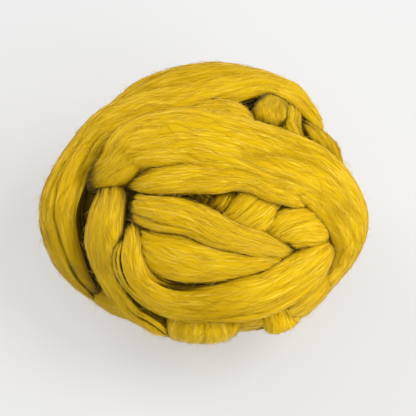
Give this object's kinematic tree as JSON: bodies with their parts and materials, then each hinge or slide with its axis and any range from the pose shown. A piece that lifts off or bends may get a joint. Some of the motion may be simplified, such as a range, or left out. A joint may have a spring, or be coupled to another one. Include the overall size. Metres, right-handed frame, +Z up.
{
  "type": "wool roving ball",
  "caption": "Loosely wound ball of combed wool roving: broad soft laps of one untwisted strand crossing each other, resting on a small flat spot.",
  "frame": {"origin": "on the resting surface, under the middle of the ball's box", "axes": "+Z up from the resting surface, +X along the ball's widest extent, +Y towards the back"},
  "size_m": [0.148, 0.1305, 0.0996],
  "materials": {
    "wool": "mustard-yellow dyed combed wool, silky along the fibre, matte in the grooves"
  },
  "bodies": {
    "root": {"wound_roving": "wool"}
  },
  "joints": []
}
